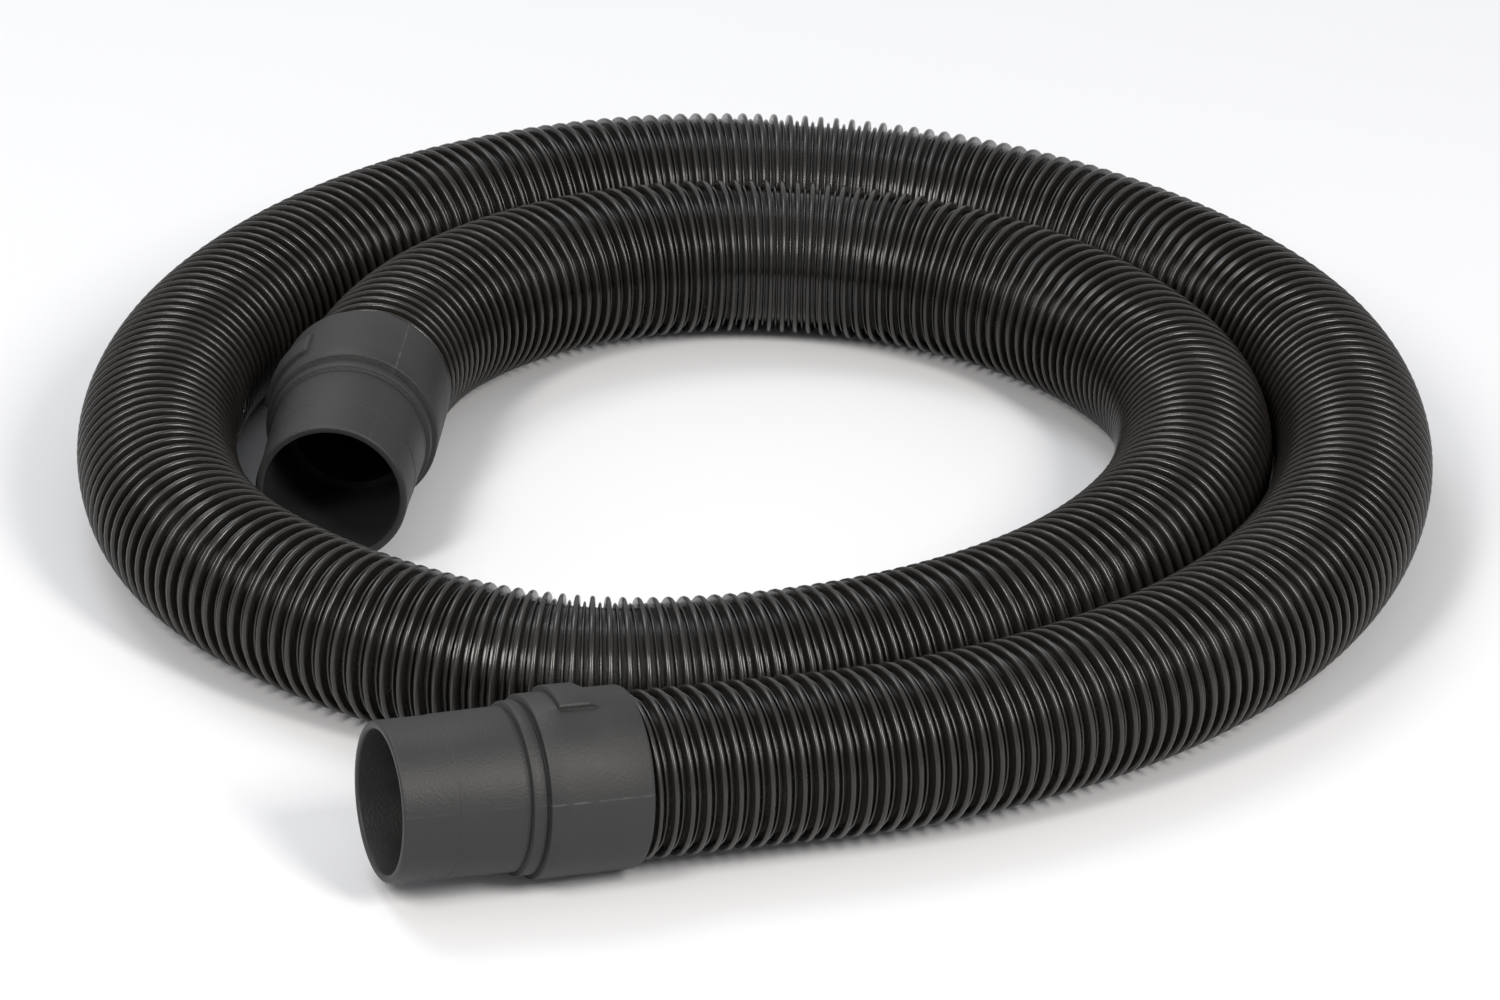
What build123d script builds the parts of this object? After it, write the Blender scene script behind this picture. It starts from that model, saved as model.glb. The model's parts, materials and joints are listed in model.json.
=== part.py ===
"""Wet/dry vacuum hose: a ribbed crush-proof hose with a swivel cuff on each end.

Units are millimetres, +Z is up and the floor is Z = 0. The front cuff points almost
along -X, its mouth slightly raised. The origin is on the floor, at the middle of the
two cuffs' footprint.
"""

from build123d import *
from math import cos, pi, radians, sin, tan
import os

os.makedirs("parts", exist_ok=True)

# ---- driving dimensions ------------------------------------------------------------

# hose
hose_od = 60.0              # over the rib crests
hose_wall = 5.0             # rib crest to bore

# cuff, outside
nozzle_inset = 1.5          # straight tip's radius under the hose's
tip_length = 20.5
tip_step = 0.25             # step in radius behind the straight tip
nozzle_flare = 0.7          # growth in radius from tip to bead
nozzle_length = 46.5
bead_height = 1.6
bead_length = 5.0
groove_width = 0.9          # line on each side of the bead
groove_depth = 0.7
groove_land = 0.1           # flat left between an edge's round and its groove
body_length = 38.1
body_wall = 2.35            # round the chamber that takes the hose
body_taper = 0.3            # loss in radius towards the rear
lip_round = 1.2

# cuff, inside
nozzle_wall = 3.0
shoulder_wall = 1.1         # between the body's front edge and the seal's chamber
entry_chamfer = 0.5
rear_land = 0.15            # flat left on the rear rim

# grip pad on the cuff's body
pad_setback = 9.5           # behind the body's front edge
pad_length = 15.5
pad_ramp = 4.5              # sloping part of that length, at the rear
pad_height = 2.2
pad_arc = 52.0              # degrees round the body
pad_bevel = 0.9
front_pad_angle = -17.0     # degrees from straight up, about the axis into the hose
rear_pad_angle = -61.0

# ferrule and seal
seal_thickness = 1.8
seal_lap = 0.6              # the seal's hole is larger than the nozzle's bore by this
flange_thickness = 2.6
flange_reach = 1.2          # flange radius beyond the rib crests
sleeve_length = 28.0
sleeve_wall = 1.9
thread_pitch = 5.9
thread_depth = 0.5
thread_turns = 4

# clearances
swivel_clearance = 0.35     # radial, cuff round the hose and round the flange
end_play = 0.25             # flange between the seal and the groove's rear wall
seal_gap = 0.1
seal_side_gap = 0.15
bond_gap = 0.05             # glue line between ferrule and hose
straight_margin = 1.0       # straight hose beyond the longer of cuff and sleeve

# ---- derived sizes -----------------------------------------------------------------

hose_radius = hose_od / 2
hose_bore_radius = hose_radius - hose_wall
chamber_radius = hose_radius + swivel_clearance
body_radius = chamber_radius + body_wall
body_rear_radius = body_radius - body_taper
tip_radius = hose_radius - nozzle_inset
nozzle_root_radius = tip_radius + nozzle_flare
nozzle_bore_radius = tip_radius - nozzle_wall
bead_radius = nozzle_root_radius + bead_height
edge_round = groove_depth - groove_land
rear_round = body_wall - body_taper - entry_chamfer - rear_land

bead_start = nozzle_length
bead_end = bead_start + bead_length
body_start = bead_end + groove_width
cuff_length = body_start + body_length
shoulder_depth = body_start + shoulder_wall
groove_front = shoulder_depth + seal_thickness
flange_front = groove_front + seal_gap
hose_end_depth = flange_front + flange_thickness
groove_rear = hose_end_depth + end_play
flange_radius = hose_radius + flange_reach
groove_radius = flange_radius + swivel_clearance
sleeve_radius = hose_bore_radius - bond_gap
sleeve_bore_radius = sleeve_radius - sleeve_wall

# ---- lie of the hose ---------------------------------------------------------------
# Points on the floor plan, from the front cuff to the rear one: one outer turn, then
# three quarters of a smaller turn beside it. The plan is drawn for a hose of plan_od
# whose turns lie side by side, so it grows with the hose.

plan_od = 60.0
coil_plan = [
    (142, -148), (225, -130), (295, -94), (351, -40),
    (389, 30), (400, 108), (376, 184), (328, 247), (261, 290), (183, 308),
    (103, 297), (33, 262), (-24, 208), (-61, 137), (-69, 57), (-32, -17),
    (26, -70), (101, -87), (181, -80), (252, -50), (310, 5), (340, 79),
    (323, 156), (271, 216), (197, 246), (119, 239),
]
front_mouth_plan = (-62.3, -143.8)
front_heading = -0.6        # degrees from +X, mouth to hose
front_dip = 1.7             # degrees; the mouth stands higher than the hose
rear_mouth_plan = (-6.6, 81.8)
rear_heading = 63.5
rear_dip = 0.0
arc_share = 0.45            # of the shorter run, taken by each arc's tangent


def on_plan(place):
    """A place on the plan, grown with the hose."""
    growth = hose_od / plan_od
    return place[0] * growth, place[1] * growth


def cuff_plane(mouth_plan, heading, dip):
    """A cuff's profile plane: origin at its mouth, x along its axis towards the hose."""
    x, y = on_plan(mouth_plan)
    level = Vector(cos(radians(heading)), sin(radians(heading)), 0)
    inward = level * cos(radians(dip)) - Vector(0, 0, sin(radians(dip)))
    rim_height = body_rear_radius * cos(radians(dip))
    lowest = max(rim_height + cuff_length * sin(radians(dip)), body_radius)
    mouth = Vector(x, y, lowest)
    return Plane(origin=mouth, x_dir=inward, z_dir=inward.cross(Vector(0, 0, 1)))


def straight_end(plane):
    """The hose's end in a cuff, and the first corner of its route beyond the cuff."""
    covered = max(cuff_length - hose_end_depth, sleeve_length)
    run = (covered + straight_margin) / (1 - arc_share)
    hose_end = plane.origin + plane.x_dir * hose_end_depth
    return hose_end, hose_end + plane.x_dir * run


def route_points(front, rear):
    """The route in space: along the cuffs' axes at both ends, else flat on the floor."""
    front_end, front_corner = straight_end(front)
    rear_end, rear_corner = straight_end(rear)
    coil = [Vector(*on_plan(place), hose_radius) for place in coil_plan]
    return [front_end, front_corner, *coil, rear_corner, rear_end]


def arc_radii(points):
    """One radius for each corner, as large as its two runs allow."""
    radii = []
    for before, corner, after in zip(points, points[1:], points[2:]):
        run_in = corner - before
        run_out = after - corner
        turn = radians(run_in.get_angle(run_out))
        radii.append(arc_share * min(run_in.length, run_out.length) / tan(turn / 2))
    return radii


front_plane = cuff_plane(front_mouth_plan, front_heading, front_dip)
rear_plane = cuff_plane(rear_mouth_plan, rear_heading, rear_dip)
points = route_points(front_plane, rear_plane)
radii = arc_radii(points)


# ---- hose --------------------------------------------------------------------------

with BuildPart() as hose:
    with BuildLine() as centreline:
        FilletPolyline(*points, radius=radii)
    with BuildSketch(Plane(origin=points[0], z_dir=points[1] - points[0])):
        Circle(hose_radius)
        Circle(hose_bore_radius, mode=Mode.SUBTRACT)
    sweep(path=centreline.line, transition=Transition.RIGHT)
hose.part.label = "hose"


# ---- cuffs -------------------------------------------------------------------------

def ring_face(depth, length, inner, outer):
    """A rectangle in a profile plane: one ring, from its depth behind the mouth."""
    with Locations((depth + length / 2, (inner + outer) / 2)):
        Rectangle(length, outer - inner)


def turned_plane(plane, angle):
    """A profile plane turned about its own axis."""
    turned = plane.z_dir.rotate(Axis((0, 0, 0), plane.x_dir), angle)
    return Plane(origin=plane.origin, x_dir=plane.x_dir, z_dir=turned)


def round_corner(profile, place, radius):
    """Round the corner of a profile at a place given in the profile's own plane."""
    fillet(profile.vertices().sort_by_distance(place)[:1], radius)


def make_cuff(plane, pad_angle):
    """One moulded cuff: nozzle, bead, body, grip pad and the stepped bore inside."""
    axis = Axis(plane.origin, plane.x_dir)
    pad_front = body_start + pad_setback
    pad_rear = pad_front + pad_length
    root_radius = body_radius - swivel_clearance
    with BuildPart() as cuff:
        with BuildSketch(plane) as profile:
            with BuildLine():
                Polyline(
                    (0, nozzle_bore_radius),
                    (0, tip_radius),
                    (tip_length, tip_radius),
                    (tip_length, tip_radius + tip_step),
                    (bead_start - groove_width, nozzle_root_radius),
                    (bead_start, nozzle_root_radius - groove_depth / 2),
                    (bead_start, bead_radius),
                    (bead_end, bead_radius),
                    (bead_end, bead_radius - groove_depth),
                    (body_start, bead_radius - groove_depth),
                    (body_start, body_radius),
                    (cuff_length, body_rear_radius),
                    (cuff_length, chamber_radius + entry_chamfer),
                    (cuff_length - entry_chamfer, chamber_radius),
                    (groove_rear, chamber_radius),
                    (groove_rear, groove_radius),
                    (groove_front, groove_radius),
                    (groove_front, chamber_radius),
                    (shoulder_depth, chamber_radius),
                    (shoulder_depth, nozzle_bore_radius),
                    close=True,
                )
            make_face()
            round_corner(profile, (0, nozzle_bore_radius), lip_round)
            round_corner(profile, (0, tip_radius), lip_round)
            round_corner(profile, (bead_start, bead_radius), edge_round)
            round_corner(profile, (bead_end, bead_radius), edge_round)
            round_corner(profile, (body_start, body_radius), edge_round)
            round_corner(profile, (cuff_length, body_rear_radius), rear_round)
        revolve(axis=axis)
        with BuildSketch(turned_plane(plane, pad_angle - pad_arc / 2)):
            with BuildLine():
                Polyline(
                    (pad_front, root_radius),
                    (pad_front, body_radius + pad_height - pad_bevel / 2),
                    (pad_front + pad_bevel / 2, body_radius + pad_height),
                    (pad_rear - pad_ramp, body_radius + pad_height),
                    (pad_rear, root_radius),
                    close=True,
                )
            make_face()
        revolve(axis=axis, revolution_arc=pad_arc)
    return cuff


front_cuff = make_cuff(front_plane, front_pad_angle)
front_cuff.part.label = "front_cuff"
rear_cuff = make_cuff(rear_plane, rear_pad_angle)
rear_cuff.part.label = "rear_cuff"


# ---- ferrules: glued in the hose's ends, they hold the cuffs and let them turn -------

def make_ferrule(plane):
    """A flanged sleeve with a shallow thread, coaxial with its cuff."""
    thread_start = hose_end_depth + thread_pitch / 2
    with BuildPart() as ferrule:
        with BuildSketch(plane):
            ring_face(flange_front, flange_thickness, sleeve_bore_radius, flange_radius)
            ring_face(hose_end_depth, sleeve_length, sleeve_bore_radius, sleeve_radius)
            for turn in range(thread_turns):
                with Locations((thread_start + turn * thread_pitch, sleeve_radius)):
                    Circle(thread_depth, mode=Mode.SUBTRACT)
        revolve(axis=Axis(plane.origin, plane.x_dir))
    return ferrule


def make_seal(plane):
    """A flat ring between the cuff's inner shoulder and the ferrule's flange."""
    inner = nozzle_bore_radius + seal_lap
    outer = chamber_radius - seal_side_gap
    with BuildPart() as seal:
        with BuildSketch(plane):
            ring_face(shoulder_depth, seal_thickness, inner, outer)
        revolve(axis=Axis(plane.origin, plane.x_dir))
    return seal


front_ferrule = make_ferrule(front_plane)
front_ferrule.part.label = "front_ferrule"
rear_ferrule = make_ferrule(rear_plane)
rear_ferrule.part.label = "rear_ferrule"

front_seal = make_seal(front_plane)
front_seal.part.label = "front_seal"
rear_seal = make_seal(rear_plane)
rear_seal.part.label = "rear_seal"


# ---- write -------------------------------------------------------------------------

for piece in (hose, front_cuff, rear_cuff, front_ferrule, rear_ferrule, front_seal, rear_seal):
    export_step(piece.part, f"parts/{piece.part.label}.step")

length = sum(edge.length for edge in centreline.edges())
section = pi * (hose_radius**2 - hose_bore_radius**2)
print("arc radii", [round(radius) for radius in radii])
print(f"hose length {length:.1f}, mouth to mouth {length + 2 * hose_end_depth:.1f}")
print(f"hose volume over section x length {hose.part.volume / (section * length):.4f}")
for name, plane in (("front", front_plane), ("rear", rear_plane)):
    print(name, "mouth", plane.origin, "axis out", -plane.x_dir)
cuffs = Compound(children=[front_cuff.part, rear_cuff.part]).bounding_box()
print("cuffs' middle", cuffs.center(), "bottom", cuffs.min.Z)
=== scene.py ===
# %% [markdown]
# # A vacuum hose in Blender
# The hose is one long ribbed tube that lies in a loose coil, with a moulded swivel cuff on each end.
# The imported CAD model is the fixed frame: it says where each cuff sits and how large it is. Blender
# adds what the plain solids leave out: the wound ribs, the moulded details and the plastics' finish.

# %% Load the fixed frame
import bpy
import bmesh
import json
import math
import numpy as np
from mathutils import Matrix, Vector


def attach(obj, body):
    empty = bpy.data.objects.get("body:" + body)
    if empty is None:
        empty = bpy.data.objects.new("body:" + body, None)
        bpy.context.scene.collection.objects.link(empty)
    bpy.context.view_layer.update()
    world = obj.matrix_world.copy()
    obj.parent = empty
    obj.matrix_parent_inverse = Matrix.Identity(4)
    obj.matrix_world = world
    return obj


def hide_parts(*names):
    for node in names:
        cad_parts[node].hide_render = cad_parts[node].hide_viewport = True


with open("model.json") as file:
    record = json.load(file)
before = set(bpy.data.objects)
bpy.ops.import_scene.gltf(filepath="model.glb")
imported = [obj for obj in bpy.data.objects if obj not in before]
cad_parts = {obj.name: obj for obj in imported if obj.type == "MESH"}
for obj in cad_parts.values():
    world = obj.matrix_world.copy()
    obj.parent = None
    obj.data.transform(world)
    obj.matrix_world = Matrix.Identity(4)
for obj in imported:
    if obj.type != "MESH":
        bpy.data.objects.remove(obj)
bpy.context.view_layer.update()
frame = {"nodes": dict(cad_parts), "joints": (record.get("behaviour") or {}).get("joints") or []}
joints = {joint["name"]: joint for joint in frame["joints"]}
scene = bpy.context.scene

# %% [markdown]
# ## The camera
# The object is seen from far away through a long lens, so that near and far ribs look almost the
# same size. A camera could be aimed with a constraint, but a matrix made of its own right, up and
# back directions also holds the slight roll, and nothing about it can drift.

# %% Camera
CAMERA_PLACE = Vector((-0.9084, -2.5647, 1.5077))
CAMERA_HEADING = math.radians(68.0)
CAMERA_DOWN = math.radians(27.72)
CAMERA_ROLL = math.radians(3.33)
CAMERA_LENS = 204.3


def make_camera():
    """A long-lens camera that looks along its heading, tilted down and rolled a little."""
    level = Vector((math.cos(CAMERA_HEADING), math.sin(CAMERA_HEADING), 0))
    forward = level * math.cos(CAMERA_DOWN) - Vector((0, 0, math.sin(CAMERA_DOWN)))
    right = forward.cross(Vector((0, 0, 1))).normalized()
    up = right.cross(forward)
    rolled_right = right * math.cos(CAMERA_ROLL) + up * math.sin(CAMERA_ROLL)
    rolled_up = up * math.cos(CAMERA_ROLL) - right * math.sin(CAMERA_ROLL)
    turn = Matrix((rolled_right, rolled_up, -forward)).transposed().to_4x4()
    data = bpy.data.cameras.new("camera")
    data.lens = CAMERA_LENS
    data.sensor_width = 36.0
    data.clip_end = 50.0
    camera = bpy.data.objects.new("camera", data)
    camera.matrix_world = Matrix.Translation(CAMERA_PLACE) @ turn
    scene.collection.objects.link(camera)
    return camera


scene.camera = make_camera()
print("camera", scene.camera.name, "lens", CAMERA_LENS)

# %% [markdown]
# ## The route of the hose
# A hose has a fixed length and bends in smooth curves. Its middle line could be drawn as a Bezier
# curve with handles, but a NURBS line needs only its control points, one every bend, and is always
# smooth between them. The first and last two points lie on the cuffs' axes, so the hose comes
# straight out of each cuff before it starts to bend. From there it lies on the floor.

# %% Route
HOSE_RADIUS = 0.030
FRONT_END = [(-0.0043, -0.1444, 0.0333), (0.0566, -0.1450, 0.0315)]
REAR_END = [(0.0465, 0.1882, 0.0327), (0.0193, 0.1337, 0.0327)]
COIL_PLAN = [
    (0.142, -0.148), (0.225, -0.130), (0.295, -0.094), (0.351, -0.040), (0.389, 0.030),
    (0.400, 0.108), (0.376, 0.184), (0.328, 0.247), (0.261, 0.290), (0.183, 0.308),
    (0.103, 0.297), (0.033, 0.262), (-0.024, 0.208), (-0.061, 0.137), (-0.069, 0.057),
    (-0.032, -0.017), (0.026, -0.070), (0.101, -0.087), (0.181, -0.080), (0.252, -0.050),
    (0.310, 0.005), (0.340, 0.079), (0.323, 0.156), (0.271, 0.216), (0.197, 0.246),
    (0.119, 0.239),
]


def route_points():
    """The control points in space, from inside the front cuff to inside the rear one."""
    coil = [(x, y, HOSE_RADIUS) for x, y in COIL_PLAN]
    return FRONT_END + coil + REAR_END


def route_line(points):
    """Points along the NURBS spline that has these control points, close together."""
    curve = bpy.data.curves.new("hose_route", "CURVE")
    curve.dimensions = "3D"
    spline = curve.splines.new("NURBS")
    spline.points.add(len(points) - 1)
    for point, place in zip(spline.points, points):
        point.co = (*place, 1.0)
    spline.order_u = 3
    spline.use_endpoint_u = True
    spline.resolution_u = 48
    holder = bpy.data.objects.new("hose_route", curve)
    scene.collection.objects.link(holder)
    bpy.context.view_layer.update()
    mesh = bpy.data.meshes.new_from_object(holder)
    line = np.array([vertex.co for vertex in mesh.vertices])
    bpy.data.objects.remove(holder)
    bpy.data.meshes.remove(mesh)
    return line


line = route_line(route_points())
steps = np.linalg.norm(np.diff(line, axis=0), axis=1)
line_at = np.concatenate([[0.0], np.cumsum(steps)])
HOSE_LENGTH = float(line_at[-1])
print("hose length", round(HOSE_LENGTH, 4), "m from", len(line), "points")


def along_route(at):
    """Place, sideways and upward directions on the route, at distances from its start."""
    place = np.stack([np.interp(at, line_at, line[:, k]) for k in range(3)], axis=-1)
    tangent_line = np.gradient(line, line_at, axis=0)
    tangent = np.stack([np.interp(at, line_at, tangent_line[:, k]) for k in range(3)], axis=-1)
    tangent /= np.linalg.norm(tangent, axis=-1, keepdims=True)
    side = np.cross([0.0, 0.0, 1.0], tangent)
    side /= np.linalg.norm(side, axis=-1, keepdims=True)
    return place, side, np.cross(tangent, side)


# %% [markdown]
# ## The wall of the hose
# The hose is wound from a plastic strip, edge on edge. What holds air is its thin wall, a tube
# that everything else stands on. A curve with a bevel would make a tube too, but only its outside;
# rings laid along the route by code give an outer skin, an inner skin and closed ends.

# %% Hose wall
WALL_OUTER = 0.0259
WALL_INNER = 0.0250
RING_POINTS = 40
RIB_PITCH = 0.00587


def new_piece(name, vertices, faces):
    """A mesh object made of vertices and faces, smooth all over, in the scene."""
    mesh = bpy.data.meshes.new(name)
    mesh.from_pydata([tuple(v) for v in vertices], [], faces)
    mesh.shade_smooth()
    mesh.update()
    piece = bpy.data.objects.new(name, mesh)
    scene.collection.objects.link(piece)
    return piece


def tube_rings(at, radius):
    """One ring of points round the route at each distance."""
    place, side, up = along_route(at)
    angle = np.linspace(0, 2 * math.pi, RING_POINTS, endpoint=False)
    round_ring = (np.cos(angle)[None, :, None] * side[:, None]
                  + np.sin(angle)[None, :, None] * up[:, None])
    return place[:, None] + radius * round_ring


def make_wall():
    """The hose's wall: an outer and an inner skin, joined round both ends."""
    at = np.linspace(0, HOSE_LENGTH, round(HOSE_LENGTH / RIB_PITCH) + 1)
    outer = tube_rings(at, WALL_OUTER)
    inner = tube_rings(at[::-1], WALL_INNER)
    rings = np.concatenate([outer, inner])
    count = len(rings)
    faces = []
    for ring in range(count):
        following = (ring + 1) % count
        for k in range(RING_POINTS):
            beside = (k + 1) % RING_POINTS
            a, b = ring * RING_POINTS + k, ring * RING_POINTS + beside
            c, d = following * RING_POINTS + beside, following * RING_POINTS + k
            faces.append((a, b, c, d))
    return new_piece("hose_wall", rings.reshape(-1, 3), faces)


hose_wall = make_wall()
print("wall", len(hose_wall.data.polygons), "faces")

# %% [markdown]
# ## The ribs and the seam
# A tall rib with a rounded crest runs round the hose from end to end as one long helix, and a low
# seam runs between its turns where the strip's edges are welded. An Array modifier of rings would
# give separate hoops; sweeping one small outline along the helix keeps it the single strip that it
# is. Where the hose bends, the outline follows the route, so the ribs fan out on the outside of the
# bend and crowd together on the inside.

# %% Rib and seam outlines
RIB_CREST_RADIUS = 0.0300
RIB_HALF_BASE = 0.00135
RIB_HALF_CREST = 0.00100
RIB_SHOULDER = 0.0291
SEAM_RADIUS = 0.0279
SEAM_HALF_BASE = 0.00072
SEAM_HALF_CREST = 0.00046
SEAM_SHOULDER = 0.0275
ROOT_RADIUS = 0.0256


def crested_outline(half_base, half_crest, shoulder, crest, crest_points):
    """(along, radius) points: a root under the wall's skin, sloping sides and a round crest."""
    outline = [(-half_base, ROOT_RADIUS)]
    for step in range(crest_points):
        angle = math.pi * step / (crest_points - 1)
        outline.append((-half_crest * math.cos(angle),
                        shoulder + (crest - shoulder) * math.sin(angle)))
    outline.append((half_base, ROOT_RADIUS))
    return np.array(outline)


RIB_OUTLINE = crested_outline(RIB_HALF_BASE, RIB_HALF_CREST, RIB_SHOULDER, RIB_CREST_RADIUS, 7)
SEAM_OUTLINE = crested_outline(SEAM_HALF_BASE, SEAM_HALF_CREST, SEAM_SHOULDER, SEAM_RADIUS, 3)
print("rib outline", len(RIB_OUTLINE), "points, seam outline", len(SEAM_OUTLINE))

# %% [markdown]
# ## Winding the rib
# The rib goes round once for every pitch that it moves along the hose. A Screw modifier winds only
# round a straight axis, so the outline's places are worked out here from the route's own
# directions. The pitch drifts a little along the way, because a used hose is stretched unevenly.

# %% Sweep an outline along the helix
END_MARGIN = 0.003
STRETCH = 0.0022
STRETCH_WAVES = 3.0


def turn_place(turn):
    """Distance along the route at a turn of the helix; a used hose is stretched unevenly."""
    whole = (HOSE_LENGTH - 2 * END_MARGIN) / RIB_PITCH
    drift = STRETCH * np.sin(2 * math.pi * STRETCH_WAVES * turn / whole)
    return END_MARGIN + turn * RIB_PITCH + drift


def helix_strip(name, outline, first, last, ahead):
    """The outline swept along the helix between two turns, some pitches ahead of them."""
    stations = round((last - first) * RING_POINTS) + 1
    turn = first + np.arange(stations) / RING_POINTS
    centre = turn_place(turn + ahead)
    angle = 2 * math.pi * turn
    rows = []
    for along, radius in outline:
        at = np.clip(centre + along, 0, HOSE_LENGTH)
        place, side, up = along_route(at)
        ring = np.cos(angle)[:, None] * side + np.sin(angle)[:, None] * up
        rows.append(place + radius * ring)
    vertices = np.stack(rows, axis=1).reshape(-1, 3)
    size = len(outline)
    faces = [tuple(range(size))]
    for station in range(stations - 1):
        for k in range(size):
            a = station * size + k
            b = station * size + (k + 1) % size
            faces.append((a, a + size, b + size, b))
    faces.append(tuple(reversed(range((stations - 1) * size, stations * size))))
    return new_piece(name, vertices, faces)


TURNS = (HOSE_LENGTH - 2 * END_MARGIN) / RIB_PITCH
HALF_TURNS = round(TURNS / 2)
rib_outer = helix_strip("hose_rib_outer_turn", RIB_OUTLINE, 0, HALF_TURNS, 0)
rib_inner = helix_strip("hose_rib_inner_turn", RIB_OUTLINE, HALF_TURNS, TURNS, 0)
hose_seam = helix_strip("hose_seam", SEAM_OUTLINE, 0, TURNS - 1, 0.5)
for piece in (rib_outer, rib_inner, hose_seam):
    print(piece.name, len(piece.data.polygons), "faces", round(TURNS, 1), "turns in all")

# %% [markdown]
# ## A cord of fixed length
# A hose bends, but it does not get longer. Its wall and ribs are attached to the hose's run, and
# each cuff's mouth and inward direction are read from the joint that it turns on. The plain CAD hose
# is hidden.

def cuff_axis(joint_name):
    """A cuff's mouth and its direction into the hose, from the joint that it turns on."""
    joint = joints[joint_name]
    return Vector(joint["pos_m"]), -Vector(joint["axis"]).normalized()


front_mouth, front_inward = cuff_axis("front_cuff_swivel")
rear_mouth, rear_inward = cuff_axis("rear_cuff_swivel")
for piece in (hose_wall, rib_outer, rib_inner, hose_seam):
    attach(piece, "hose_run")
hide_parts("hose")
print("hose declared", round(HOSE_LENGTH, 4), "m long")

# %% [markdown]
# ## The cuffs
# Each cuff is one injection moulding, turned about one axis: a nozzle, a bead with a fine groove on
# each side, and a wider body that covers the hose's end. It could be spun from a drawn outline;
# here a circle is extruded and resized ring by ring, as at a lathe, out along the outside and back
# along the bore, and then closed. It is modelled upright at the origin with its mouth down.

# %% Lathe a cuff
CUFF_SIDES = 96
OUTER_STATIONS = [
    (0.0000, 0.0285), (0.0205, 0.0285), (0.0207, 0.02875), (0.0440, 0.02916),
    (0.0456, 0.0292), (0.0463, 0.0288), (0.0467, 0.0306), (0.0471, 0.0308),
    (0.0511, 0.0308), (0.0515, 0.0306), (0.0518, 0.0301), (0.0522, 0.0301),
    (0.0525, 0.0323), (0.0531, 0.0327), (0.0619, 0.03263), (0.0729, 0.03254),
    (0.0774, 0.0325), (0.0893, 0.0324), (0.0905, 0.0320),
]
INNER_STATIONS = [
    (0.0905, 0.03085), (0.0900, 0.03035), (0.0582, 0.03035), (0.0582, 0.03155),
    (0.0553, 0.03155), (0.0553, 0.03035), (0.0535, 0.03035), (0.0535, 0.0255),
    (0.0000, 0.0255),
]


def deselect_all():
    if bpy.context.object and bpy.context.object.mode != "OBJECT":
        bpy.ops.object.mode_set(mode="OBJECT")
    bpy.ops.object.select_all(action="DESELECT")


def lathe(name, stations, sides):
    """A circle extruded along +Z and resized at each station, then closed on itself."""
    deselect_all()
    height, radius = stations[0]
    bpy.ops.mesh.primitive_circle_add(vertices=sides, radius=radius, location=(0, 0, height))
    piece = bpy.context.object
    piece.name = name
    bpy.ops.object.mode_set(mode="EDIT")
    bpy.ops.mesh.select_all(action="SELECT")
    for next_height, next_radius in stations[1:]:
        rise = next_height - height
        bpy.ops.mesh.extrude_region_move(TRANSFORM_OT_translate={"value": (0, 0, rise)})
        factor = next_radius / radius
        bpy.ops.transform.resize(value=(factor, factor, 1), center_override=(0, 0, 0))
        height, radius = next_height, next_radius
    bpy.ops.mesh.select_all(action="DESELECT")
    bpy.ops.mesh.select_non_manifold()
    bpy.ops.mesh.bridge_edge_loops()
    bpy.ops.mesh.select_all(action="SELECT")
    bpy.ops.mesh.normals_make_consistent(inside=False)
    bpy.ops.object.mode_set(mode="OBJECT")
    return piece


cuff_blank = lathe("cuff_blank", OUTER_STATIONS + INNER_STATIONS, CUFF_SIDES)
print("cuff blank", len(cuff_blank.data.polygons), "faces, size", tuple(cuff_blank.dimensions))

# %% [markdown]
# ## The grip pad
# A thumb pad stands on the body: a raised patch with a steep front, straight sides and a ramp down
# to the body at the back. It is pulled out of the body's own faces, so that it stays one moulding.

# %% Raise the grip pad
PAD_FRONT = 0.0619
PAD_RAMP = 0.0729
PAD_REAR = 0.0774
PAD_HALF_ARC = math.radians(26.0)
PAD_HEIGHT = 0.0022
PAD_BEVEL = 0.0007
BODY_RADIUS = 0.0327


def select_faces(piece, wanted):
    """Selects the faces whose centre answers a test, and nothing else."""
    bpy.ops.object.mode_set(mode="EDIT")
    bpy.ops.mesh.select_mode(type="FACE")
    bpy.ops.mesh.select_all(action="DESELECT")
    shape = bmesh.from_edit_mesh(piece.data)
    for face in shape.faces:
        if wanted(face.calc_center_median(), face.normal):
            face.select_set(True)
    bmesh.update_edit_mesh(piece.data)


def on_pad(centre, normal):
    outside = math.hypot(centre.x, centre.y) > 0.0319
    in_arc = abs(math.atan2(centre.y, centre.x)) < PAD_HALF_ARC
    return outside and in_arc and PAD_FRONT < centre.z < PAD_REAR and normal.x > 0


def bevel_pad_rim(piece):
    """Bevels the edges between the pad's top and its front and side walls."""
    bpy.ops.mesh.select_mode(type="EDGE")
    bpy.ops.mesh.select_all(action="DESELECT")
    shape = bmesh.from_edit_mesh(piece.data)
    for edge in shape.edges:
        ends = [math.hypot(vertex.co.x, vertex.co.y) for vertex in edge.verts]
        raised = min(ends) > BODY_RADIUS + PAD_HEIGHT - 0.0005
        edge.select_set(raised and edge.calc_face_angle(0.0) > math.radians(50))
    bmesh.update_edit_mesh(piece.data)
    bpy.ops.mesh.bevel(offset=PAD_BEVEL, segments=1, affect="EDGES")


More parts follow.
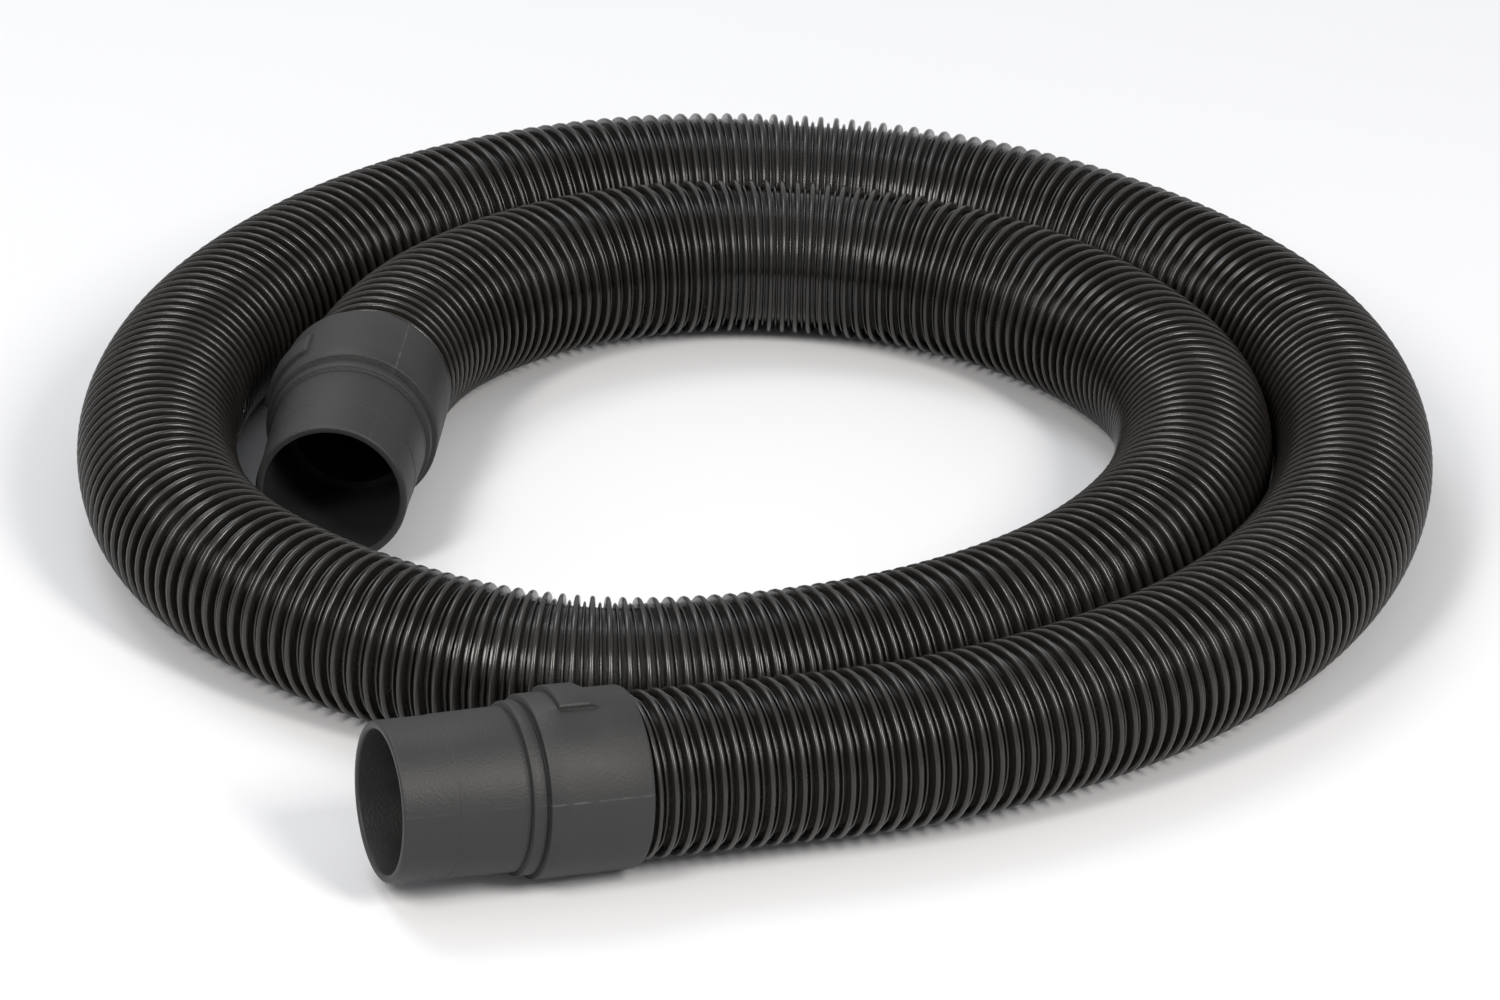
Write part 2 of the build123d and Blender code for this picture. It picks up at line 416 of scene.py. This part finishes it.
def raise_pad(piece):
    """Extrudes the pad's faces outwards and lets their rear edge down to the body."""
    select_faces(piece, on_pad)
    bpy.ops.mesh.extrude_region_move(TRANSFORM_OT_translate={"value": (0, 0, 0)})
    factor = (BODY_RADIUS + PAD_HEIGHT) / BODY_RADIUS
    bpy.ops.transform.resize(value=(factor, factor, 1), center_override=(0, 0, 0))
    shape = bmesh.from_edit_mesh(piece.data)
    for vertex in shape.verts:
        raised = vertex.select and math.hypot(vertex.co.x, vertex.co.y) > BODY_RADIUS + 0.001
        vertex.select_set(raised and abs(vertex.co.z - PAD_REAR) < 1e-4)
    shape.select_flush(False)
    bmesh.update_edit_mesh(piece.data)
    bpy.ops.mesh.select_mode(type="VERT")
    bpy.ops.transform.resize(value=(1 / factor, 1 / factor, 1), center_override=(0, 0, 0))
    bevel_pad_rim(piece)
    bpy.ops.mesh.select_all(action="SELECT")
    bpy.ops.mesh.remove_doubles(threshold=0.00002)
    bpy.ops.object.mode_set(mode="OBJECT")


raise_pad(cuff_blank)
print("with pad", len(cuff_blank.data.polygons), "faces, size", tuple(cuff_blank.dimensions))

# %% [markdown]
# ## Soft edges
# A mould never leaves a knife edge. The lip of the mouth is rounded most, because it slides into
# ports; the other edges get a hair-fine round that catches the light. A Bevel modifier does that for
# every sharp edge at once, and the cuff is then shaded smooth up to an angle.

# %% Round the edges
EDGE_ROUND = 0.00032
LIP_ROUND = 0.0011


def round_lip(piece):
    """Bevels the two edges of the mouth's end face."""
    bpy.ops.object.mode_set(mode="EDIT")
    bpy.ops.mesh.select_mode(type="EDGE")
    bpy.ops.mesh.select_all(action="DESELECT")
    shape = bmesh.from_edit_mesh(piece.data)
    for edge in shape.edges:
        low = all(vertex.co.z < 1e-5 for vertex in edge.verts)
        radii = [math.hypot(vertex.co.x, vertex.co.y) for vertex in edge.verts]
        edge.select_set(low and abs(radii[0] - radii[1]) < 1e-5)
    bmesh.update_edit_mesh(piece.data)
    bpy.ops.mesh.bevel(offset=LIP_ROUND, segments=4, affect="EDGES")
    bpy.ops.object.mode_set(mode="OBJECT")


def soften(piece, width):
    """Rounds every sharp edge and keeps the faces beside it flat."""
    deselect_all()
    piece.select_set(True)
    bpy.context.view_layer.objects.active = piece
    bevel = piece.modifiers.new("edge_round", "BEVEL")
    bevel.width = width
    bevel.segments = 2
    bevel.limit_method = "ANGLE"
    bevel.angle_limit = math.radians(35)
    bpy.ops.object.modifier_apply(modifier=bevel.name)
    bpy.ops.object.shade_smooth_by_angle(angle=math.radians(40))


round_lip(cuff_blank)
soften(cuff_blank, EDGE_ROUND)
print("softened cuff", len(cuff_blank.data.polygons), "faces")

# %% [markdown]
# ## A map of the cuff's outside
# The parting line belongs on the outside only. An automatic unwrap would cut the cuff into islands
# anywhere, so the map is written out: u goes once round, v from the mouth to the rear. Faces of
# the bore are left out of it.

# %% Unroll the cuff
def unroll(piece):
    """A UV map of the outside: u once round, v from the mouth to the rear."""
    layer = piece.data.uv_layers.new(name="unrolled")
    for face in piece.data.polygons:
        if face.normal.x * face.center.x + face.normal.y * face.center.y < 0:
            continue
        corners = [piece.data.vertices[v].co for v in face.vertices]
        around = [math.atan2(co.y, co.x) / (2 * math.pi) + 0.5 for co in corners]
        if max(around) - min(around) > 0.5:
            around = [u + 1 if u < 0.5 else u for u in around]
        for loop, u, co in zip(face.loop_indices, around, corners):
            layer.data[loop].uv = (u, co.z / CUFF_LENGTH)


CUFF_LENGTH = OUTER_STATIONS[-1][0]
unroll(cuff_blank)
print("unrolled", cuff_blank.data.uv_layers[0].name)

# %% [markdown]
# ## One moulding, two cuffs
# Both cuffs are the same moulding, so one blank serves for both. Each copy gets its own mesh and is
# laid on the axis of the joint that it turns on. The grip pads point different ways.

# %% Place a copy on each end
PAD_TURN = {"front": -17.0, "rear": -61.0}


def place_cuff(end, mouth, inward):
    """A copy of the cuff with its own mesh, laid along its axis with its pad turned."""
    level = inward.cross(Vector((0, 0, 1)))
    pad = Matrix.Rotation(math.radians(PAD_TURN[end]), 3, inward) @ level.cross(inward).normalized()
    across = inward.cross(pad)
    turn = Matrix((pad, across, inward)).transposed().to_4x4()
    piece = cuff_blank.copy()
    piece.data = cuff_blank.data.copy()
    piece.name = end + "_cuff_moulding"
    scene.collection.objects.link(piece)
    piece.data.transform(Matrix.Translation(mouth) @ turn)
    piece.data.update()
    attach(piece, end + "_swivel")
    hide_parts(end + "_cuff")
    return piece


front_cuff = place_cuff("front", front_mouth, front_inward)
rear_cuff = place_cuff("rear", rear_mouth, rear_inward)
bpy.data.objects.remove(cuff_blank)
print("cuffs", front_cuff.name, rear_cuff.name)

# %% [markdown]
# ## Finishes
# Every moulded surface has a fine grain and has been handled. Both effects are made once, as node
# groups that put out a normal or a mask, and each material mixes them into its own shader. The
# pattern comes from procedural noise in object coordinates, so it needs no images.

# %% Shared effects
def new_group(name, inputs, outputs):
    """A shader node group with its input and output nodes."""
    group = bpy.data.node_groups.new(name, "ShaderNodeTree")
    for label, kind, value in inputs:
        socket = group.interface.new_socket(name=label, in_out="INPUT", socket_type=kind)
        if value is not None:
            socket.default_value = value
    for label, kind in outputs:
        group.interface.new_socket(name=label, in_out="OUTPUT", socket_type=kind)
    return group, group.nodes.new("NodeGroupInput"), group.nodes.new("NodeGroupOutput")


def make_grain():
    """Fine moulded grain: a normal, and the mask that it came from."""
    group, given, result = new_group(
        "moulded_grain",
        [("Vector", "NodeSocketVector", None), ("Scale", "NodeSocketFloat", 900.0),
         ("Strength", "NodeSocketFloat", 0.2)],
        [("Normal", "NodeSocketVector"), ("Mask", "NodeSocketFloat")])
    noise = group.nodes.new("ShaderNodeTexNoise")
    noise.inputs["Detail"].default_value = 3.0
    bump = group.nodes.new("ShaderNodeBump")
    bump.inputs["Distance"].default_value = 0.0004
    group.links.new(given.outputs["Vector"], noise.inputs["Vector"])
    group.links.new(given.outputs["Scale"], noise.inputs["Scale"])
    group.links.new(given.outputs["Strength"], bump.inputs["Strength"])
    group.links.new(noise.outputs["Fac"], bump.inputs["Height"])
    group.links.new(bump.outputs["Normal"], result.inputs["Normal"])
    group.links.new(noise.outputs["Fac"], result.inputs["Mask"])
    return group


def make_smudges():
    """Large soft patches left by handling, from 0 where clean to 1 where dull."""
    group, given, result = new_group(
        "handling_smudges",
        [("Vector", "NodeSocketVector", None), ("Scale", "NodeSocketFloat", 25.0),
         ("Cover", "NodeSocketFloat", 0.5)],
        [("Mask", "NodeSocketFloat")])
    noise = group.nodes.new("ShaderNodeTexNoise")
    noise.inputs["Detail"].default_value = 5.0
    noise.inputs["Roughness"].default_value = 0.65
    level = group.nodes.new("ShaderNodeMapRange")
    level.inputs["To Min"].default_value = 0.0
    level.inputs["To Max"].default_value = 1.0
    low = group.nodes.new("ShaderNodeMath")
    low.operation = "SUBTRACT"
    low.inputs[0].default_value = 1.0
    high = group.nodes.new("ShaderNodeMath")
    high.operation = "ADD"
    high.inputs[1].default_value = 0.3
    group.links.new(given.outputs["Vector"], noise.inputs["Vector"])
    group.links.new(given.outputs["Scale"], noise.inputs["Scale"])
    group.links.new(given.outputs["Cover"], low.inputs[1])
    group.links.new(low.outputs[0], high.inputs[0])
    group.links.new(noise.outputs["Fac"], level.inputs["Value"])
    group.links.new(low.outputs[0], level.inputs["From Min"])
    group.links.new(high.outputs[0], level.inputs["From Max"])
    group.links.new(level.outputs["Result"], result.inputs["Mask"])
    return group


def make_line():
    """A mask that is 1 where a coordinate lies within a width of a place."""
    group, given, result = new_group(
        "thin_line",
        [("Value", "NodeSocketFloat", 0.0), ("Place", "NodeSocketFloat", 0.0),
         ("Width", "NodeSocketFloat", 0.01)],
        [("Mask", "NodeSocketFloat")])
    offset = group.nodes.new("ShaderNodeMath")
    offset.operation = "SUBTRACT"
    size = group.nodes.new("ShaderNodeMath")
    size.operation = "ABSOLUTE"
    near = group.nodes.new("ShaderNodeMapRange")
    near.interpolation_type = "SMOOTHSTEP"
    near.inputs["From Max"].default_value = 0.0
    group.links.new(given.outputs["Value"], offset.inputs[0])
    group.links.new(given.outputs["Place"], offset.inputs[1])
    group.links.new(offset.outputs[0], size.inputs[0])
    group.links.new(size.outputs[0], near.inputs["Value"])
    group.links.new(given.outputs["Width"], near.inputs["From Min"])
    group.links.new(near.outputs["Result"], result.inputs["Mask"])
    return group


GRAIN = make_grain()
SMUDGES = make_smudges()
LINE = make_line()
print("node groups", [group.name for group in (GRAIN, SMUDGES, LINE)])

# %% [markdown]
# ## The hose's and the cuffs' plastics
# The hose is a black plastic, fairly glossy and duller where it has been handled.
# The cuffs are a dark grey plastic with a matte mould grain and a faint parting line.

# %% Material helpers
def new_material(name, base, roughness):
    """A material with its Principled shader's colour and roughness set."""
    material = bpy.data.materials.new(name)
    material.use_nodes = True
    shader = material.node_tree.nodes["Principled BSDF"]
    shader.inputs["Base Color"].default_value = (*base, 1)
    shader.inputs["Roughness"].default_value = roughness
    return material


def add_group(material, group, **values):
    """A node group in a material, with the given inputs set."""
    node = material.node_tree.nodes.new("ShaderNodeGroup")
    node.node_tree = group
    for label, value in values.items():
        node.inputs[label].default_value = value
    return node


def object_coordinates(material):
    """The output that gives places in the object's own space."""
    return material.node_tree.nodes.new("ShaderNodeTexCoord").outputs["Object"]


def mix_by(material, mask, low, high):
    """A value that goes from low to high with a mask."""
    node = material.node_tree.nodes.new("ShaderNodeMapRange")
    node.inputs["To Min"].default_value = low
    node.inputs["To Max"].default_value = high
    material.node_tree.links.new(mask, node.inputs["Value"])
    return node.outputs["Result"]


def mix_colours(material, mask, low, high):
    """A colour that goes from low to high with a mask."""
    node = material.node_tree.nodes.new("ShaderNodeMix")
    node.data_type = "RGBA"
    node.inputs["A"].default_value = (*low, 1)
    node.inputs["B"].default_value = (*high, 1)
    material.node_tree.links.new(mask, node.inputs["Factor"])
    return node.outputs["Result"]


# %% [markdown]
# ## The plastics themselves
# One function makes all of them from a clean colour, a dull colour and two roughnesses. The
# ferrules and seals sit inside the cuffs and are hardly seen, so theirs are kept simple.

# %% Plastics
def make_plastic(name, clean, dull, gloss, matte, grain_scale, grain_strength):
    """A moulded plastic: grain in its normal, smudges in its colour and roughness."""
    material = new_material(name, clean, gloss)
    links = material.node_tree.links
    shader = material.node_tree.nodes["Principled BSDF"]
    places = object_coordinates(material)
    grain = add_group(material, GRAIN, Scale=grain_scale, Strength=grain_strength)
    smudges = add_group(material, SMUDGES, Scale=22.0, Cover=0.55)
    links.new(places, grain.inputs["Vector"])
    links.new(places, smudges.inputs["Vector"])
    links.new(grain.outputs["Normal"], shader.inputs["Normal"])
    mask = smudges.outputs["Mask"]
    links.new(mix_colours(material, mask, clean, dull), shader.inputs["Base Color"])
    links.new(mix_by(material, mask, gloss, matte), shader.inputs["Roughness"])
    return material


hose_plastic = make_plastic("hose_polyethylene", (0.0125, 0.0108, 0.0092),
                            (0.0180, 0.0158, 0.0138), 0.23, 0.34, 700.0, 0.06)
cuff_plastic = make_plastic("cuff_plastic", (0.0125, 0.0124, 0.0126),
                            (0.0180, 0.0176, 0.0170), 0.52, 0.64, 1100.0, 0.45)
ferrule_plastic = make_plastic("ferrule_plastic", (0.016, 0.016, 0.016),
                               (0.020, 0.020, 0.020), 0.45, 0.55, 1500.0, 0.2)
seal_rubber = make_plastic("seal_rubber", (0.011, 0.011, 0.011),
                           (0.016, 0.016, 0.016), 0.75, 0.85, 1500.0, 0.15)
print("materials", [m.name for m in (hose_plastic, cuff_plastic, ferrule_plastic, seal_rubber)])

# %% [markdown]
# ## The parting line
# The halves of a mould leave a thin line along each side of a moulding, with a little flash on it.
# It could be a modelled ridge, but it stands up by almost nothing, so it is a mask in the cuff's
# colour, placed by the unrolled map. Its paleness is painted highlight, with brighter dashes of
# painted glint where light would catch the flash.

# %% Parting line
PARTING_PLACE = 0.25
PARTING_WIDTH = 0.0026
# Painted highlight: the pale colour of the glints painted along the parting line.
PAINTED_GLINT = (0.060, 0.060, 0.060)


def add_parting_line(material):
    """A faint lengthwise line in painted highlight, brighter in dashes of painted glint."""
    tree = material.node_tree
    shader = tree.nodes["Principled BSDF"]
    uv = tree.nodes.new("ShaderNodeUVMap")
    uv.uv_map = "unrolled"
    split = tree.nodes.new("ShaderNodeSeparateXYZ")
    tree.links.new(uv.outputs["UV"], split.inputs["Vector"])
    from_pad = tree.nodes.new("ShaderNodeMath")
    from_pad.operation = "SUBTRACT"
    from_pad.inputs[1].default_value = 0.5
    either_side = tree.nodes.new("ShaderNodeMath")
    either_side.operation = "ABSOLUTE"
    line_mask = add_group(material, LINE, Place=PARTING_PLACE, Width=PARTING_WIDTH)
    tree.links.new(split.outputs["X"], from_pad.inputs[0])
    tree.links.new(from_pad.outputs[0], either_side.inputs[0])
    tree.links.new(either_side.outputs[0], line_mask.inputs["Value"])
    # Painted highlight: noise along the line sets where the painted glints are brightest.
    glint_noise = tree.nodes.new("ShaderNodeTexNoise")
    glint_noise.noise_dimensions = "1D"
    glint_noise.inputs["Scale"].default_value = 11.0
    tree.links.new(split.outputs["Y"], glint_noise.inputs["W"])
    glint_spots = tree.nodes.new("ShaderNodeMapRange")
    glint_spots.inputs["From Min"].default_value = 0.40
    glint_spots.inputs["From Max"].default_value = 0.68
    glint_spots.inputs["To Min"].default_value = 0.10
    tree.links.new(glint_noise.outputs["Fac"], glint_spots.inputs["Value"])
    amount = tree.nodes.new("ShaderNodeMath")
    amount.operation = "MULTIPLY"
    tree.links.new(line_mask.outputs["Mask"], amount.inputs[0])
    on_body = tree.nodes.new("ShaderNodeMapRange")
    on_body.inputs["From Min"].default_value = 0.52
    on_body.inputs["From Max"].default_value = 0.60
    on_body.inputs["To Min"].default_value = 0.25
    tree.links.new(split.outputs["Y"], on_body.inputs["Value"])
    strength = tree.nodes.new("ShaderNodeMath")
    strength.operation = "MULTIPLY"
    tree.links.new(glint_spots.outputs["Result"], strength.inputs[0])
    tree.links.new(on_body.outputs["Result"], strength.inputs[1])
    tree.links.new(strength.outputs[0], amount.inputs[1])
    plain = shader.inputs["Base Color"].links[0].from_socket
    # The painted highlight is mixed into the cuff's colour here.
    mix = tree.nodes.new("ShaderNodeMix")
    mix.data_type = "RGBA"
    mix.inputs["B"].default_value = (*PAINTED_GLINT, 1)
    tree.links.new(amount.outputs[0], mix.inputs["Factor"])
    tree.links.new(plain, mix.inputs["A"])
    tree.links.new(mix.outputs["Result"], shader.inputs["Base Color"])


add_parting_line(cuff_plastic)
print("parting line in", cuff_plastic.name)

# %% [markdown]
# ## Putting the materials on
# The new pieces get their materials, and the fixed nodes are only given a material: their shape and
# place stay as they came.

# %% Put the materials on
for piece in (hose_wall, rib_outer, rib_inner, hose_seam):
    piece.data.materials.append(hose_plastic)
for piece in (front_cuff, rear_cuff):
    piece.data.materials.append(cuff_plastic)


def paint_node(name, material):
    """Gives a fixed node a material and leaves its shape alone."""
    node = frame["nodes"][name]
    node.data.materials.clear()
    node.data.materials.append(material)


for end in ("front", "rear"):
    paint_node(end + "_ferrule", ferrule_plastic)
    paint_node(end + "_seal", seal_rubber)
print("painted", [piece.name for piece in (hose_wall, rib_outer, rib_inner, hose_seam)])

# %% [markdown]
# ## Floor
# The hose lies on plain pale paper. It is only a stage, not part of the object.

# %% Floor
def make_floor():
    deselect_all()
    bpy.ops.mesh.primitive_plane_add(size=14, location=(0, 0, 0))
    floor = bpy.context.object
    floor.name = "floor"
    floor.data.materials.append(new_material("floor_paper", (0.68, 0.685, 0.70), 0.9))
    return floor


print("floor", make_floor().name)

# %% [markdown]
# ## Lights
# Two upright soft lights on the viewer's side put the long highlight along the cuffs and the bright
# streaks on the ribs. A wider, weaker one above and behind rims the ribs of the far turns.

# %% Lights
COIL_MIDDLE = Vector((0.16, 0.08, 0.03))
VIEW_HEADING = CAMERA_HEADING + math.pi


def make_light(name, heading, rise, distance, size, power, colour):
    """A soft rectangular light that faces the coil from a heading and a rise."""
    level = Vector((math.cos(heading), math.sin(heading), 0))
    towards = level * math.cos(rise) + Vector((0, 0, math.sin(rise)))
    data = bpy.data.lights.new(name, "AREA")
    data.shape = "RECTANGLE"
    data.size, data.size_y = size
    data.energy = power
    data.color = colour
    light = bpy.data.objects.new(name, data)
    light.location = COIL_MIDDLE + towards * distance
    light.rotation_euler = (-towards).to_track_quat("-Z", "Y").to_euler()
    scene.collection.objects.link(light)
    return light


make_light("right_softbox", VIEW_HEADING + 0.70, math.radians(42), 2.8, (0.5, 1.0), 46,
           (1.0, 0.965, 0.92))
make_light("left_softbox", VIEW_HEADING - 0.55, math.radians(42), 2.8, (0.5, 1.0), 40,
           (1.0, 0.965, 0.92))
make_light("top_softbox", VIEW_HEADING + math.pi + 0.75, math.radians(60), 2.8, (1.3, 1.1), 24,
           (0.93, 0.965, 1.0))
world = bpy.data.worlds.new("studio")
world.use_nodes = True
world.node_tree.nodes["Background"].inputs["Color"].default_value = (0.97, 0.98, 1.0, 1)
world.node_tree.nodes["Background"].inputs["Strength"].default_value = 0.60
scene.world = world
scene.view_settings.view_transform = "Standard"
